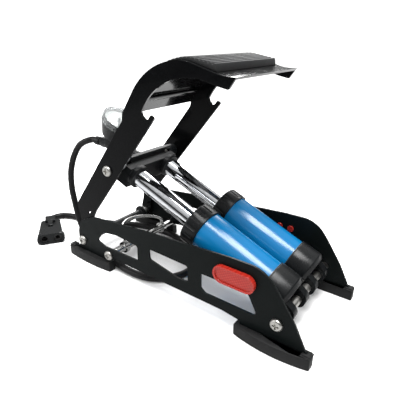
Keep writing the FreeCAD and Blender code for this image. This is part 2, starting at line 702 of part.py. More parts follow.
def crosshead_block():
    """Cast crosshead: rod sockets, air passage, neck to the gauge and outlet for the hose."""
    body = new_body("crosshead_body")
    profile = [(BLOCK_FRONT, BLOCK_LOW, 2), (BLOCK_FRONT, LEDGE, 1), (BLOCK_STEP, LEDGE, 0.8),
               (BLOCK_STEP, BLOCK_HIGH - 2), (BLOCK_STEP - 1.5, BLOCK_HIGH - 2, 0.6),
               (BLOCK_STEP - 1.5, BLOCK_HIGH, 0.8), (BLOCK_STEP + 1.5, BLOCK_HIGH, 0.8),
               (BLOCK_REAR - 2, 6, 2), (BLOCK_REAR, BLOCK_LOW, 3)]
    add_pad(body, "XZ_Plane", [rounded_loop([(-s, *rest) for s, *rest in profile])],
            str(2 * BLOCK_HALF_Y), both_ways=True)
    body.Placement = beside_cylinder()
    doc.recompute()
    block = body.Shape.copy()
    back = UP_THE_CYLINDER
    neck_start = cylinder_point(BLOCK_REAR - 4, 0)
    neck_line = NECK_TURN - neck_start
    neck = Part.makeCylinder(NECK_R, neck_line.Length, neck_start, neck_line)
    elbow = Part.makeSphere(NECK_R, NECK_TURN)
    riser = Part.makeCylinder(NECK_R, RISER, NECK_TURN, GAUGE_AXIS)
    outlet = Part.makeCylinder(6.5, 12, NECK_TURN, OUTLET_HEADING)
    cast = block.multiFuse([neck, elbow, riser, outlet])
    tools = []
    for side in (-1, 1):
        y = side * size("cylinder_y")
        boss = Part.makeCylinder(13.2, 6, cylinder_point(BLOCK_FRONT - 5, 0, y), back)
        cast = cast.fuse(boss)
    for side in (-1, 1):
        y = side * size("cylinder_y")
        tools.append(Part.makeCylinder(ROD_R + GAP, ROD_TOP - BLOCK_FRONT + 6,
                                       cylinder_point(BLOCK_FRONT - 6, 0, y), back))
        tools.append(Part.makeCylinder(6, CHANNEL_STATION - ROD_TOP + 1,
                                       cylinder_point(ROD_TOP - 1, 0, y), back))
        tools.append(pivot_pocket(side))
    reach = size("cylinder_y") + 3
    tools.append(Part.makeCylinder(NECK_BORE, 2 * reach, cylinder_point(CHANNEL_STATION, 0, -reach),
                                   Vector(0, 1, 0)))
    along = Vector(neck_line).normalize()
    tools.append(Part.makeCylinder(2.2, BALL_SEAT + 6, neck_start - along * 5, neck_line))
    seat = neck_start + neck_line * (BALL_SEAT / neck_line.Length)
    tools.append(Part.makeCylinder(NECK_BORE, (NECK_TURN - seat).Length, seat, neck_line))
    tools.append(Part.makeCylinder(2.2, RISER + 1, NECK_TURN, GAUGE_AXIS))
    tools.append(Part.makeCylinder(3.05, 12, NECK_TURN, OUTLET_HEADING))
    for tool in tools:
        cast = cast.cut(tool)
    keep(loose("crosshead_block", cast.removeSplitter()))
    return seat, neck_line


BALL_SEAT = 8.0
PIN_DRIFT_DOWN, PIN_DRIFT_UP = 2.7, 6.4


def pivot_pocket(side):
    """Pocket that leaves the screw tip free over the small drift of this one open pivot."""
    clear = SCREW_R + 1.2
    depth = 9.0
    start_y = side * (BLOCK_HALF_Y - depth)
    heading = Vector(0, side, 0)
    at_rest = Vector(PIVOT.x, start_y, PIVOT.z)
    drifted = at_rest - UP_THE_CYLINDER * PIN_DRIFT_DOWN + ABOVE_THE_CYLINDER * PIN_DRIFT_UP
    half_way = (at_rest + drifted) * 0.5
    ends = [Part.makeCylinder(clear, depth + 1, spot, heading) for spot in (at_rest, drifted)]
    length = (drifted - at_rest).Length
    slab = Part.makeBox(length, 2 * clear, depth + 1, Vector(-length / 2, -clear, 0))
    run = (drifted - at_rest).normalize()
    slab.Placement = Placement(half_way, Rotation(run, heading.cross(run), heading, "ZXY"))
    return ends[0].multiFuse([ends[1], slab])


def check_valve(seat, neck_line):
    """Outlet ball on its seat in the neck, held by a light spring."""
    along = Vector(neck_line).normalize()
    ball_r = 3.1
    centre = seat + along * (ball_r - 0.9)
    ball = primitive("Sphere", "check_ball", Placement(centre, Rotation()), Radius=str(ball_r))
    ball.Label = "check_ball"
    wire, coil_r, length, turns = 0.35, 2.4, 12.0, 6
    helix = Part.makeHelix(length / turns, length, coil_r)
    ring = Part.Wire([Part.makeCircle(wire, Vector(coil_r, 0, 0), Vector(0, 1, 0))])
    coil = Part.Wire(helix.Edges).makePipeShell([ring], True, True)
    spring = loose("check_spring", coil)
    spring.Placement = Placement(centre + along * (ball_r + 0.2), Rotation(Vector(0, 0, 1), along))
    keep(ball, spring)


def gauge():
    """Pressure gauge: cup, clear cap, dial, needle and the curved tube that drives it."""
    seat = Placement(GAUGE_FOOT, Rotation(Vector(0, 1, 0), GAUGE_LEAN))
    radius, height = size("gauge_radius"), size("gauge_height")
    wall = 1.6
    inner = radius - wall
    ledge = height - 6.5
    case = turned("gauge_case", [(2.6, 0), (14, 0, 1.5), (radius, height - 7.5), (radius, height),
                                 (inner, height), (inner, ledge), (inner - 1.2, ledge), (13.2, 6.5),
                                 (2.6, 6.5)], seat)
    dial_low, dial_high, pin_hole = ledge + 0.02, ledge + 0.9, 1.0
    dial = turned("gauge_dial", [(pin_hole, dial_low), (inner - GAP, dial_low),
                                 (inner - GAP, dial_high), (pin_hole, dial_high)], seat)
    skirt = radius + 1.2
    lens = turned("gauge_lens", [(0, height + 2.6), (radius - 4, height + 2.4, 4),
                                 (skirt, height + 0.5, 1.5), (skirt, height - 7, 0.4),
                                 (radius + GAP, height - 7), (radius + GAP, height + 0.05),
                                 (inner - 1, height + 0.05, 1), (inner - 3, height + 1.1, 2),
                                 (0, height + 1.3)], seat)
    keep(case, dial, lens)
    pin_r, hub_r, needle_z = 0.9, 2.2, ledge + 2.0
    hub_low, hub_high = needle_z - 0.6, needle_z + 1.2
    hub = turned("needle_hub", [(0, ledge - 3), (pin_r, ledge - 3), (pin_r, hub_low),
                                (hub_r, hub_low), (hub_r, hub_high, 0.6), (0, hub_high)], Placement())
    tail, tip = -5.5, 14.5
    pointer = rounded_loop([(tail, -1.4, 0.5), (tail, 1.4, 0.5), (tip, 0.25), (tip, -0.25)])
    blade = new_body("needle_blade")
    add_pad(blade, "XY_Plane", [pointer], "0.5", height=needle_z)
    needle = combine("Fuse", "gauge_needle", hub, blade)
    rest_angle = 315
    needle.Placement = seat.multiply(Placement(Vector(), Rotation(Vector(0, 0, 1), rest_angle)))
    keep(needle)
    bend = primitive("Torus", "bourdon_tube", seat.multiply(Placement(Vector(0, 0, 10.2), Rotation())),
                     Radius1="sizes.gauge_radius - 7.5", Radius2="1.4", Angle3="270")
    bend.Label = "bourdon_tube"
    keep(bend)


BARB_START = NECK_TURN + OUTLET_HEADING * 4.0
BARB_LENGTH = 24.0


def hose_barb():
    """Threaded tail in the outlet with two barbs inside the hose end."""
    placement = Placement(BARB_START, Rotation(Vector(0, 0, 1), OUTLET_HEADING))
    profile = [(1.4, 0), (3.0, 0), (3.0, 8.05), (5.4, 8.05), (5.4, 10.5), (2.5, 10.5), (2.5, 14), (2.9, 16),
               (2.5, 16), (2.5, 19), (2.9, 21), (2.4, BARB_LENGTH), (1.4, BARB_LENGTH)]
    keep(turned("hose_barb", profile, placement))


# ---------------------------------------------------------------- hose and valve head

FACING = Vector(0.832, -0.555, 0).normalize()
HEAD_FRONT = Vector(-64.5, -63.5, 0)
HEAD_WIDTH, HEAD_DEPTH, HEAD_HEIGHT = 35.0, 48.0, 15.0
HEAD_TURN = Rotation(Vector(1, 0, 0), FACING)
HEAD_FRAME = Placement(HEAD_FRONT, HEAD_TURN)
PORT_SPREAD = 8.3
TAIL_Z = 5.7
PORT_Z = 7.5
LEVER_AT = (-30.0, 11.0)
LEVER_SLOT_FLOOR = 7.8


def head_spot(forward, sideways, up):
    return HEAD_FRAME.multVec(Vector(forward, sideways, up))


def valve_head():
    """Twin valve head: body, two rubber seals, clamp lever and its pin."""
    body = new_body("head_shell")
    half, collar, slot_half = HEAD_WIDTH / 2, 8.0, 3.2
    plan = rounded_loop([(-2, -half + 2), (-2, half - 2), (-HEAD_DEPTH, half - 5, 5),
                         (-HEAD_DEPTH, -half + 5, 5)])
    add_pad(body, "XY_Plane", [plan], str(HEAD_HEIGHT - 1.5), height=0.5)
    slot_front, slot_rear = LEVER_AT[0] + 5, -HEAD_DEPTH - 2
    slot = rounded_loop([(slot_rear, -slot_half), (slot_front, -slot_half), (slot_front, slot_half),
                         (slot_rear, slot_half)])
    add_pocket(body, "XY_Plane", [slot], str(HEAD_HEIGHT - LEVER_SLOT_FLOOR), height=HEAD_HEIGHT)
    front = Part.Wire([edge.toShape() for edge in stadium(0, HEAD_HEIGHT / 2, half, HEAD_HEIGHT / 2)])
    rim = Part.Face(front).extrude(Vector(0, 0, collar))
    rim.Placement = Placement(Vector(-collar, 0, 0), Rotation(Vector(1, 1, 1), 120))
    shell = body.Shape.fuse(rim)
    ahead, sideways = Vector(1, 0, 0), Vector(0, 1, 0)
    seal_r, seal_floor = 5.5, -12.0
    for side in (-1, 1):
        y = side * PORT_SPREAD
        shell = shell.cut(Part.makeCylinder(seal_r, 14, Vector(seal_floor, y, PORT_Z), ahead))
        shell = shell.cut(Part.makeCylinder(3.0, 4, Vector(seal_floor - 3, y, PORT_Z), ahead))
    gallery = Part.makeCylinder(1.8, 2 * PORT_SPREAD, Vector(seal_floor - 1.7, -PORT_SPREAD, PORT_Z),
                                sideways)
    tail = Part.makeCylinder(2.8, 16, Vector(-HEAD_DEPTH - 15, 0, TAIL_Z), ahead)
    inlet = Part.makeCylinder(1.6, HEAD_DEPTH + 4.5, Vector(-HEAD_DEPTH - 16, 0, TAIL_Z), ahead)
    pin_r = 1.5
    pin_hole = Part.makeCylinder(pin_r + GAP, HEAD_WIDTH, Vector(LEVER_AT[0], -half, LEVER_AT[1]),
                                 sideways)
    shell = shell.fuse(tail).cut(gallery).cut(inlet).cut(pin_hole)
    item = loose("valve_head_body", shell.removeSplitter())
    item.Placement = HEAD_FRAME
    into = Rotation(Vector(0, 0, 1), FACING * -1)
    keep(item)
    for label, side, hole in (("car_valve_seal", -1, 3.85), ("bicycle_valve_seal", 1, 2.9)):
        profile = [(hole, 0), (seal_r - GAP, 0), (seal_r - GAP, 9), (2.2, 9), (2.2, 7.5), (hole, 7.5)]
        mouth = head_spot(-2.5, side * PORT_SPREAD, PORT_Z)
        keep(turned(label, profile, Placement(mouth, into)))
    pin = primitive("Cylinder", "lever_pin",
                    HEAD_FRAME.multiply(across(LEVER_AT[0], -half + 5.5, LEVER_AT[1])),
                    Radius=str(pin_r), Height=str(HEAD_WIDTH - 11))
    pin.Label = "lever_pin"
    lever_body = new_body("valve_lever")
    x, z = LEVER_AT
    boss = 2.9
    under, top, tip = z + 3.5, z + 7.0, x - 22
    side_view = rounded_loop([(x + boss, z - boss, 2.8), (x + boss, top - 2.5, 2), (x - 3, top, 3),
                              (tip, top, 1.2), (tip, under, 1.2), (x - 4.5, under, 1.5),
                              (x - boss, z - boss, 2.5)])
    add_pad(lever_body, "XZ_Plane", [side_view, circle(x, z, pin_r + GAP)], "6", both_ways=True)
    thumb_plate = rounded_loop([(tip - 1, under + 0.4, 1), (x - 7, under + 0.4, 1), (x - 7, top + 0.6, 1),
                                (tip - 1, top + 0.6, 1)])
    add_pad(lever_body, "XZ_Plane", [thumb_plate], "13", both_ways=True)
    lever_body.Placement = HEAD_FRAME
    keep(pin, lever_body)


def hose_path():
    """Centre line from the outlet, down behind the pump, round the floor to the valve head."""
    out = BARB_START + OUTLET_HEADING * 12.0
    tail = head_spot(-HEAD_DEPTH - 1.5, 0, TAIL_Z)
    rest = size("hose_radius") + 0.4
    straight = [out + OUTLET_HEADING * step for step in (0, 4, 8, 12, 16)]
    drop = [Vector(-40, -3, 133.5), Vector(-52, -8, 127), Vector(-61, -13, 112), Vector(-65.5, -18, 91),
            Vector(-64.5, -21, 70), Vector(-59, -23, 47), Vector(-53, -24.5, 30), Vector(-46, -26, 17),
            Vector(-36, -28, 9), Vector(-24, -31, rest + 1)]
    floor = [(-10, -34), (8, -38), (28, -43), (48, -48), (65, -51), (81, -51), (95, -48.5),
             (108, -42), (119, -31.5), (126, -17), (126, 0), (119, 16), (104, 29), (83, 39),
             (60, 45), (36, 47), (12, 44.5), (-6, 39), (-22, 31), (-40, 21), (-64, 12), (-90, 5),
             (-110, 0), (-123, -9), (-125.5, -20)]
    ending = [tail - FACING * step for step in (12, 8, 4, 0)]
    return straight + drop + [Vector(x, y, rest) for x, y in floor] + ending


def air_hose():
    """Soft rubber hose, hollow at both ends where the tails go in."""
    points = hose_path()
    outer = pipe(points, size("hose_radius"))
    depth, bore = 14.0, 2.95
    for spot, heading in ((points[0], OUTLET_HEADING), (points[-1], FACING * -1)):
        outer = outer.cut(Part.makeCylinder(bore, depth + 1, spot - heading, heading))
    keep(loose("air_hose", outer))


def hose_ferrules():
    """Crimped sleeves over the two hose ends."""
    clear, outer, length = size("hose_radius") + 0.1, size("hose_radius") + 1.4, 9.0
    profile = [(clear, 0.4), (outer, 0.4), (outer, length, 0.5), (clear, length)]
    points = hose_path()
    near = turned("crosshead_ferrule", profile,
                  Placement(points[0], Rotation(Vector(0, 0, 1), OUTLET_HEADING)))
    far = turned("valve_ferrule", profile, Placement(points[-1], Rotation(Vector(0, 0, 1), -FACING)))
    keep(near, far)


# ---------------------------------------------------------------- build

side_plate()
shoe("rear", REAR_SHOE, 2.5, (REAR_SHOE[0] + 0.5, REAR_SHOE[0] + SHOE_END_WALL + 4))
shoe("front", FRONT_SHOE, 4.5, (FRONT_SHOE[1] - SHOE_END_WALL - 4, FRONT_SHOE[1] - 0.5))
screw = screw_master()
frame_screws(screw)
cross_rod("hinge_axle", HINGE, size("axle_radius"))
cross_rod("rear_tie_rod", TIE, size("rod_end_radius"))
cross_rod("front_axle", FRONT, size("rod_end_radius"))
hinge_spacers()
reflector()
wire_bail()
treadle_channel()
tread_pad()
arm_pivots(screw)
barrel()
end_cap()
top_cap()
cylinder_rings()
return_springs()
piston_rod()
piston()
ball_seat, ball_line = crosshead_block()
check_valve(ball_seat, ball_line)
gauge()
hose_barb()
valve_head()
air_hose()
hose_ferrules()
doc.recompute()

for item in doc.Objects:
    if "Invalid" in item.State or "Error" in item.State:
        raise ValueError("%s is in a bad state: %s" % (item.Label, item.State))

os.makedirs("parts", exist_ok=True)
for node in nodes:
    shape = node.Shape
    if shape.isNull() or not shape.isValid() or len(shape.Solids) == 0:
        raise ValueError("%s has no valid shape" % node.Label)
    shape.exportStep("parts/%s.step" % node.Label)
print("written", len(nodes), "nodes")
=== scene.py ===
import json
import math
from contextlib import contextmanager

import bmesh
import bpy
from mathutils import Matrix, Vector


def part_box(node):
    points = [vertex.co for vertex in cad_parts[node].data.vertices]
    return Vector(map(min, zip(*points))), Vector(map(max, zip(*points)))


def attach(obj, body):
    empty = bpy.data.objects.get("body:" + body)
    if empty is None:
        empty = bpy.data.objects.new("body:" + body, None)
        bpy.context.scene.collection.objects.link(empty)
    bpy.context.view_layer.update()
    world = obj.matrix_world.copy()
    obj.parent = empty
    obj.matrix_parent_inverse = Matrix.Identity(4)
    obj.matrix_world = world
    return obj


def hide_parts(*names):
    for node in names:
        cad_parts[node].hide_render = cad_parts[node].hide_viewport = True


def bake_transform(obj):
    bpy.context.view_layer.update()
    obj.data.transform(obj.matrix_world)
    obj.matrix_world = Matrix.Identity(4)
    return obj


# Looks of a twin-cylinder foot air pump.  Metres; +X is the front of the pump, +Z is up.

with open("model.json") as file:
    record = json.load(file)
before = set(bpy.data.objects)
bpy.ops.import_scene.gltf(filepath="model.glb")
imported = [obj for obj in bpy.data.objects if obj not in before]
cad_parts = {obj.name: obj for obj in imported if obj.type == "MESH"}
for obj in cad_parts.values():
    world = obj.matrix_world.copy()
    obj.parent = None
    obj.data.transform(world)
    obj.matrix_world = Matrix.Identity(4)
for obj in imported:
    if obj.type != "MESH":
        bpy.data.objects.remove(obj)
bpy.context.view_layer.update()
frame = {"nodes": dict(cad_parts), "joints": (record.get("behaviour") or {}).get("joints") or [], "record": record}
MM = 0.001

NODES = frame["nodes"]
JOINTS = {joint["name"]: joint for joint in frame["joints"]}
SLOTS = {row["node"]: row["material_slot"] for row in frame["record"]["subparts"]}


# ---------------------------------------------------------------- node trees

def add(tree, kind, inputs=None, **settings):
    """One shader node; an input is a number, a colour or another node's output."""
    made = tree.nodes.new("ShaderNode" + kind)
    for name, value in settings.items():
        setattr(made, name, value)
    for name, value in (inputs or {}).items():
        if isinstance(value, bpy.types.NodeSocket):
            tree.links.new(value, made.inputs[name])
        else:
            made.inputs[name].default_value = value
    return made


def maths(tree, operation, first, second=0.0):
    made = add(tree, "Math", {0: first, 1: second}, operation=operation)
    return made.outputs[0]


def spread(tree, value, low, high, start=0.0, end=1.0):
    """value running from start to end becomes low to high."""
    made = add(tree, "MapRange", {"Value": value, "From Min": start, "From Max": end,
                                  "To Min": low, "To Max": high})
    return made.outputs[0]


def mottled(tree, cloud, low, high):
    """The middle of a noise, where most of it lies, becomes low to high."""
    return spread(tree, cloud, low, high, 0.3, 0.7)


def mix(tree, share, first, second):
    made = add(tree, "Mix", {0: share, 6: first, 7: second}, data_type="RGBA")
    return made.outputs[2]


def noise(tree, at, scale, detail=3.0, roughness=0.55):
    made = add(tree, "TexNoise", {"Vector": at, "Scale": scale, "Detail": detail,
                                  "Roughness": roughness})
    return made.outputs["Fac"]


def bump(tree, height, depth):
    return add(tree, "Bump", {"Height": height, "Distance": depth, "Strength": 1.0}).outputs[0]


def object_place(tree):
    return add(tree, "TexCoord").outputs["Object"]


def facing(tree, axis):
    """How squarely the surface faces along an axis, from -1 to 1."""
    normal = add(tree, "NewGeometry").outputs["Normal"]
    return add(tree, "SeparateXYZ", {0: normal}).outputs[axis]


def edges(tree, width):
    """1 on sharp edges, 0 on flat ground."""
    rounded = add(tree, "Bevel", {"Radius": width}, samples=4).outputs[0]
    plain = add(tree, "NewGeometry").outputs["Normal"]
    match = add(tree, "VectorMath", {0: rounded, 1: plain}, operation="DOT_PRODUCT").outputs["Value"]
    return spread(tree, match, 1.0, 0.0, 0.72, 0.97)


def start_material(name):
    made = bpy.data.materials.new(name)
    made.use_nodes = True
    made.node_tree.nodes.clear()
    return made, made.node_tree


def show(tree, shader, output="OutputMaterial"):
    tree.links.new(shader.outputs[0], add(tree, output).inputs["Surface"])


def finish_material(tree, **inputs):
    show(tree, add(tree, "BsdfPrincipled", {name.replace("_", " "): value for name, value in inputs.items()}))


def grey(value):
    return (value, value, value, 1.0)


def tinted(colour, factor, lift=0.0):
    """The colour times a factor plus a little grey, at most white."""
    return tuple(min(1.0, c * factor + lift) for c in colour[:3]) + (1.0,)


# ---------------------------------------------------------------- materials

def painted_steel(name, colour, worn, roughness, peel, coat=0.0, shine=0.5, sides=1.0):
    """Sprayed enamel with orange peel, blotches, specks of dust and thin paint on the edges.

    sides is the share of the shine left on what faces left or right.
    """
    made, tree = start_material(name)
    at = object_place(tree)
    dust = spread(tree, noise(tree, at, 1400, 2), 0.0, 0.35, 0.66, 0.75)
    patchy = spread(tree, noise(tree, at, 160, 4), 0.1, 1.0, 0.35, 0.6)
    rim = maths(tree, "MULTIPLY", edges(tree, 0.7 * MM), patchy)
    base = mix(tree, noise(tree, at, 28, 5), tinted(colour, 0.8), colour)
    base = mix(tree, maths(tree, "MULTIPLY", dust, 0.25), base, worn)
    base = mix(tree, maths(tree, "MULTIPLY", rim, 0.4), base, worn)
    sideways = maths(tree, "ABSOLUTE", facing(tree, "Y"))
    gloss = spread(tree, sideways, 1.0, sides, 0.6, 0.95)
    finish_material(tree, Base_Color=base,
                    Roughness=mottled(tree, noise(tree, at, 75, 5), roughness - 0.05, roughness + 0.07),
                    Normal=bump(tree, noise(tree, at, 520, 2), peel),
                    Coat_Weight=maths(tree, "MULTIPLY", gloss, coat), Coat_Roughness=0.06,
                    Coat_Normal=bump(tree, noise(tree, at, 300, 2), peel * 0.5),
                    Specular_IOR_Level=maths(tree, "MULTIPLY", gloss, shine))
    return made


def bare_metal(name, colour, roughness, along, lines, depth):
    """Drawn or turned metal: fine lines along one axis, smudges and small scratches."""
    made, tree = start_material(name)
    at = object_place(tree)
    stretched = add(tree, "Mapping", {"Vector": at, "Scale": along}).outputs[0]
    streaks = noise(tree, stretched, lines, 3)
    scratch = spread(tree, noise(tree, stretched, lines * 0.35, 6, 0.8), 0.0, 1.0, 0.62, 0.68)
    base = mix(tree, mottled(tree, streaks, 0.0, 1.0), tinted(colour, 0.72), colour)
    base = mix(tree, maths(tree, "MULTIPLY", scratch, 0.3), base, grey(0.9))
    finish_material(tree, Base_Color=base, Metallic=1.0, Normal=bump(tree, streaks, depth),
                    Roughness=mottled(tree, noise(tree, at, 55, 4), roughness * 0.7, roughness * 1.5))
    return made


def moulded_plastic(name, colour, roughness, grain, depth, painted_sheen_lift=0.012):
    """Injection-moulded plastic: eroded grain, flow clouds, rubbed edges, and a painted sheen: lighter colour on
    what faces up, standing in for the sky's reflection.
    """
    made, tree = start_material(name)
    at = object_place(tree)
    pits = add(tree, "TexVoronoi", {"Vector": at, "Scale": grain}, feature="SMOOTH_F1").outputs["Distance"]
    fine = noise(tree, at, grain * 1.7, 2)
    height = maths(tree, "ADD", pits, maths(tree, "MULTIPLY", fine, 0.5))
    cloud = noise(tree, at, 40, 4)
    rim = edges(tree, 0.6 * MM)
    # Painted sheen: what faces up is made lighter, a reflection of the sky painted into the colour.
    faces_up_sheen_mask = spread(tree, facing(tree, "Z"), 0.0, 1.0, 0.86, 0.95)
    base = mix(tree, cloud, colour, tinted(colour, 1.5, 0.003))
    base = mix(tree, faces_up_sheen_mask, base, tinted(colour, 1.0, painted_sheen_lift))
    base = mix(tree, maths(tree, "MULTIPLY", rim, 0.5), base, tinted(colour, 2.0, 0.012))
    rough = mottled(tree, cloud, roughness - 0.06, roughness + 0.08)
    rough = maths(tree, "SUBTRACT", rough, maths(tree, "MULTIPLY", rim, 0.12))
    finish_material(tree, Base_Color=base, Roughness=rough, Normal=bump(tree, height, depth),
                    Specular_IOR_Level=0.2)
    return made


def rubber(name, colour, roughness, grain, depth, top_paleness=0.25):
    """Black rubber: leathery grain, a faint velvet sheen, and paler patches on what faces up."""
    made, tree = start_material(name)
    at = object_place(tree)
    cells = add(tree, "TexVoronoi", {"Vector": at, "Scale": grain}, feature="F1").outputs["Distance"]
    height = maths(tree, "ADD", cells, noise(tree, at, grain * 2.5, 3))
    cloud = noise(tree, at, 65, 5, 0.65)
    # Paler patches on what faces up, strongest on the tread pad.
    upward = spread(tree, facing(tree, "Z"), 0.0, 1.0, 0.3, 1.0)
    dust = maths(tree, "MULTIPLY", upward, spread(tree, cloud, 0.0, top_paleness, 0.42, 0.75))
    finish_material(tree, Base_Color=mix(tree, dust, colour, tinted(colour, 2.2, 0.022)),
                    Roughness=mottled(tree, cloud, roughness - 0.08, roughness + 0.08),
                    Normal=bump(tree, height, depth), Sheen_Weight=0.03, Sheen_Roughness=0.5,
                    Specular_IOR_Level=0.25)
    return made


def reflector_plastic():
    """Red plastic over moulded prisms."""
    made, tree = start_material("red_reflector")
    at = object_place(tree)
    turned = add(tree, "Mapping", {"Vector": at, "Rotation": (0.0, math.radians(30), 0.0),
                                   "Scale": (1.0, 0.0, 1.0)}).outputs[0]
    prisms = add(tree, "TexVoronoi", {"Vector": turned, "Scale": 420, "Randomness": 0.0},
                 distance="MANHATTAN").outputs["Distance"]
    cloud = noise(tree, at, 90, 3)
    deep, bright, milky = (0.24, 0.010, 0.006, 1.0), (0.36, 0.020, 0.012, 1.0), (0.42, 0.035, 0.02, 1.0)
    base = mix(tree, spread(tree, prisms, 0.0, 1.0, 0.1, 0.7), bright, deep)
    base = mix(tree, maths(tree, "MULTIPLY", cloud, 0.25), base, milky)
    finish_material(tree, Base_Color=base, Roughness=spread(tree, cloud, 0.1, 0.22), Coat_Weight=0.3,
                    Coat_Roughness=0.06, Normal=bump(tree, prisms, 0.06 * MM), Specular_IOR_Level=0.3)
    return made


def clear_plastic():
    """Clear polycarbonate with hairline scratches; milkier where it is seen edge on."""
    made, tree = start_material("clear_plastic")
    hair = spread(tree, noise(tree, object_place(tree), 220, 8, 0.8), 0.0, 1.0, 0.62, 0.7)
    edge = add(tree, "LayerWeight", {"Blend": 0.35}).outputs["Facing"]
    tint = mix(tree, edge, (0.90, 0.92, 0.92, 1.0), (0.66, 0.69, 0.70, 1.0))
    solid = add(tree, "BsdfPrincipled", {"Base Color": tint, "Roughness": spread(tree, hair, 0.03, 0.16),
                                         "IOR": 1.3, "Transmission Weight": 0.6, "Coat Weight": 0.4,
                                         "Normal": bump(tree, hair, 0.001 * MM)})
    open_air = add(tree, "BsdfTransparent", {"Color": (0.91, 0.92, 0.92, 1.0)})
    clearness = spread(tree, edge, 0.92, 0.3, 0.05, 0.85)
    show(tree, add(tree, "MixShader", {0: clearness, 1: solid.outputs[0], 2: open_air.outputs[0]}))
    return made


def printed(name, colour, roughness=0.45):
    """Ink or enamel on the dial: slight mottling and a paper-fine tooth."""
    made, tree = start_material(name)
    at = object_place(tree)
    cloud = noise(tree, at, 260, 4)
    finish_material(tree, Base_Color=mix(tree, cloud, tinted(colour, 0.9), colour),
                    Roughness=spread(tree, cloud, roughness - 0.08, roughness + 0.08),
                    Normal=bump(tree, noise(tree, at, 2600, 2), 0.01 * MM))
    return made


# Streaks in metal are drawn out along one axis by shrinking the pattern there.
ALONG_X, ALONG_Y, EVEN = (0.06, 1.0, 1.0), (1.0, 0.06, 1.0), (1.0, 1.0, 1.0)

RECIPES = {
    "satin_black_sheet": (painted_steel, dict(
        colour=(0.004, 0.0055, 0.0055, 1), worn=(0.035, 0.04, 0.04, 1), roughness=0.38,
        peel=0.05 * MM, shine=0.25, sides=0.25)),
    "gloss_black_sheet": (painted_steel, dict(
        colour=(0.0025, 0.0027, 0.003, 1), worn=grey(0.05), roughness=0.14,
        peel=0.02 * MM, coat=0.9, shine=0.8, sides=0.05)),
    "blue_enamel": (painted_steel, dict(
        colour=(0.002, 0.150, 0.36, 1), worn=(0.06, 0.26, 0.46, 1), roughness=0.17,
        peel=0.008 * MM, shine=0.45)),
    "dark_steel": (painted_steel, dict(
        colour=(0.02, 0.021, 0.022, 1), worn=grey(0.16), roughness=0.3, peel=0.01 * MM, coat=0.1)),
    "chrome_plate": (bare_metal, dict(
        colour=(0.84, 0.86, 0.89, 1), roughness=0.05, along=ALONG_X, lines=900, depth=0.001 * MM)),
    "bright_steel": (bare_metal, dict(
        colour=(0.60, 0.60, 0.59, 1), roughness=0.22, along=ALONG_Y, lines=1300, depth=0.01 * MM)),
    "bright_wire": (bare_metal, dict(
        colour=(0.74, 0.74, 0.73, 1), roughness=0.16, along=EVEN, lines=260, depth=0.002 * MM)),
    "zinc_screw": (bare_metal, dict(
        colour=(0.56, 0.55, 0.52, 1), roughness=0.32, along=EVEN, lines=1500, depth=0.02 * MM)),
    "brass": (bare_metal, dict(
        colour=(0.74, 0.55, 0.26, 1), roughness=0.25, along=ALONG_X, lines=1200, depth=0.01 * MM)),
    "black_plastic": (moulded_plastic, dict(
        colour=(0.003, 0.0036, 0.004, 1), roughness=0.27, grain=1500, depth=0.03 * MM)),
    # The crosshead block gets a strong painted sheen on its top ledge.
    "cast_black": (moulded_plastic, dict(
        colour=(0.0035, 0.004, 0.0045, 1), roughness=0.36, grain=1300, depth=0.03 * MM, painted_sheen_lift=0.10)),
    "grey_plastic": (moulded_plastic, dict(
        colour=(0.33, 0.34, 0.35, 1), roughness=0.45, grain=1300, depth=0.03 * MM)),
    "black_rubber": (rubber, dict(
        colour=(0.0045, 0.0048, 0.005, 1), roughness=0.6, grain=900, depth=0.05 * MM)),
    "tread_rubber": (rubber, dict(
        colour=(0.016, 0.0165, 0.017, 1), roughness=0.62, grain=1100, depth=0.05 * MM, top_paleness=0.7)),
    "seal_rubber": (rubber, dict(
        colour=grey(0.018), roughness=0.5, grain=1600, depth=0.02 * MM)),
    "hose_rubber": (rubber, dict(
        colour=(0.004, 0.004, 0.0043, 1), roughness=0.38, grain=1400, depth=0.02 * MM, top_paleness=0.1)),
    "white_dial": (printed, dict(colour=(0.84, 0.85, 0.83, 1))),
    "dial_ink": (printed, dict(colour=(0.015, 0.015, 0.018, 1), roughness=0.35)),
    "dial_red": (printed, dict(colour=(0.72, 0.05, 0.07, 1), roughness=0.35)),
}
FINISHES = {name: maker(name, **settings) for name, (maker, settings) in RECIPES.items()}
FINISHES["red_plastic"] = reflector_plastic()
FINISHES["clear_plastic"] = clear_plastic()


def paint(piece, finish):
    piece.data.materials.clear()
    piece.data.materials.append(FINISHES[finish])
    return piece


# ---------------------------------------------------------------- mesh helpers

def link(name, data):
    made = bpy.data.objects.new(name, data)
    bpy.context.scene.collection.objects.link(made)
    return made


@contextmanager
def editing(piece):
    """The piece's mesh opened for editing; the changes are written back at the end."""
    work = bmesh.new()
    work.from_mesh(piece.data)
    yield work
    work.to_mesh(piece.data)
    work.free()


def shade(piece, angle=35):
    """Smooth shading that keeps edges sharper than the angle."""
    for face in piece.data.polygons:
        face.use_smooth = True
    sharp = math.radians(angle)
    with editing(piece) as work:
        for edge in work.edges:
            edge.smooth = len(edge.link_faces) == 2 and edge.calc_face_angle(0.0) < sharp
    return piece


SEAM = 0.002 * MM
FLAT = math.radians(0.4)
BROKEN_EDGE = math.radians(28)
SPAN_STEPS = 24


def soften(piece, width):
    """Machined edge break on a hard piece, without touching its own vertices."""
    weld = piece.modifiers.new("weld", "WELD")
    weld.merge_threshold = SEAM
    flat = piece.modifiers.new("flat", "DECIMATE")
    flat.decimate_type = "DISSOLVE"
    flat.angle_limit = FLAT
    bevel = piece.modifiers.new("edge_break", "BEVEL")
    bevel.width = width
    bevel.segments = 2
    bevel.limit_method = "ANGLE"
    bevel.angle_limit = BROKEN_EDGE
    bevel.use_clamp_overlap = True
    bevel.harden_normals = True
    return piece


